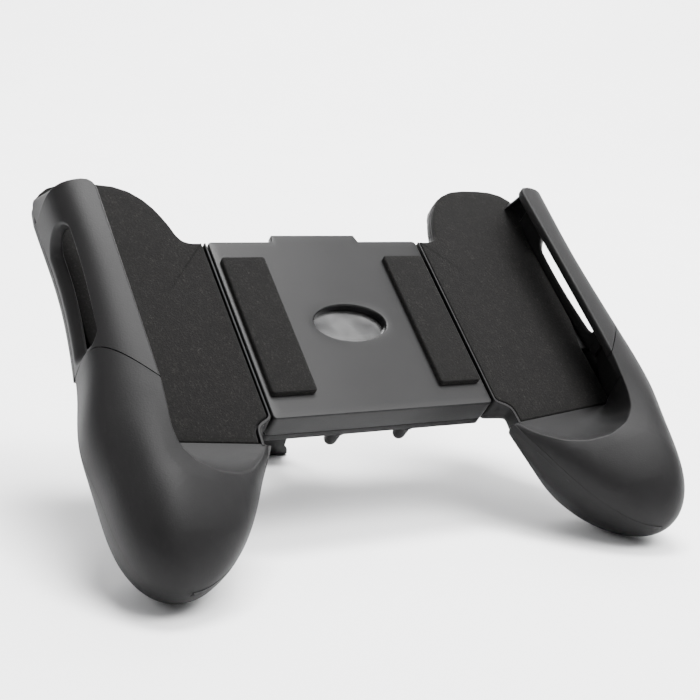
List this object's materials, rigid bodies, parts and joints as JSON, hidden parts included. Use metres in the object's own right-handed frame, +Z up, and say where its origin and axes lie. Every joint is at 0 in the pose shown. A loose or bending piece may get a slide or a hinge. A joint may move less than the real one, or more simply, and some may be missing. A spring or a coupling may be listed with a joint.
{
  "type": "phone game grip",
  "caption": "Stretching two-handed grip that clamps a phone between sprung side handles with finger-slot arms, foam-padded trays and a flip-out kickstand.",
  "frame": {"origin": "bottom centre of the bounding box, on the table that it stands on", "axes": "+X along the stretch towards the right handle, +Y away from the player, +Z up; the phone bed leans back 38 degrees from the table"},
  "size_m": [0.157, 0.0994, 0.083],
  "materials": {
    "plate_plastic": "satin moulded plastic",
    "grip_plastic": "fine matt moulded plastic",
    "cover_plastic": "matt moulded plastic",
    "stand_plastic": "matt moulded plastic",
    "tongue_plastic": "smooth sliding plastic",
    "foam": "charcoal closed-cell foam",
    "foil": "bright foil",
    "steel": "plain steel"
  },
  "bodies": {
    "centre": {"front_plate": "plate_plastic", "rear_cover": "cover_plastic", "oval_badge": "foil", "left_strip_pad": "foam", "right_strip_pad": "foam", "cover_screws": "steel", "stand_pin": "steel", "left_return_spring": "steel", "right_return_spring": "steel"},
    "stand": {"stand": "stand_plastic"},
    "left_handle": {"left_clamp_frame": "grip_plastic", "left_tray_pad": "foam", "left_grip_front": "grip_plastic", "left_rear_shell": "grip_plastic", "left_slide_tongue": "tongue_plastic", "left_tongue_screws": "steel", "left_shell_screws": "steel"},
    "right_handle": {"right_clamp_frame": "grip_plastic", "right_tray_pad": "foam", "right_grip_front": "grip_plastic", "right_rear_shell": "grip_plastic", "right_slide_tongue": "tongue_plastic", "right_tongue_screws": "steel", "right_shell_screws": "steel"}
  },
  "joints": [
    {"name": "left_slide", "type": "slide", "parent": "centre", "child": "left_handle", "axis": [-1, 0, 0], "range_m": [0, 0.018], "stiffness_N_per_m": 300, "springref_m": -0.008, "deforming": ["left_return_spring"]},
    {"name": "right_slide", "type": "slide", "parent": "centre", "child": "right_handle", "axis": [1, 0, 0], "range_m": [0, 0.018], "stiffness_N_per_m": 300, "springref_m": -0.008, "deforming": ["right_return_spring"]},
    {"name": "stand_hinge", "type": "hinge", "parent": "centre", "child": "stand", "pos_m": [0, 0.03106, 0.05293], "axis": [-1, 0, 0], "range_deg": [0, 69.8]}
  ]
}
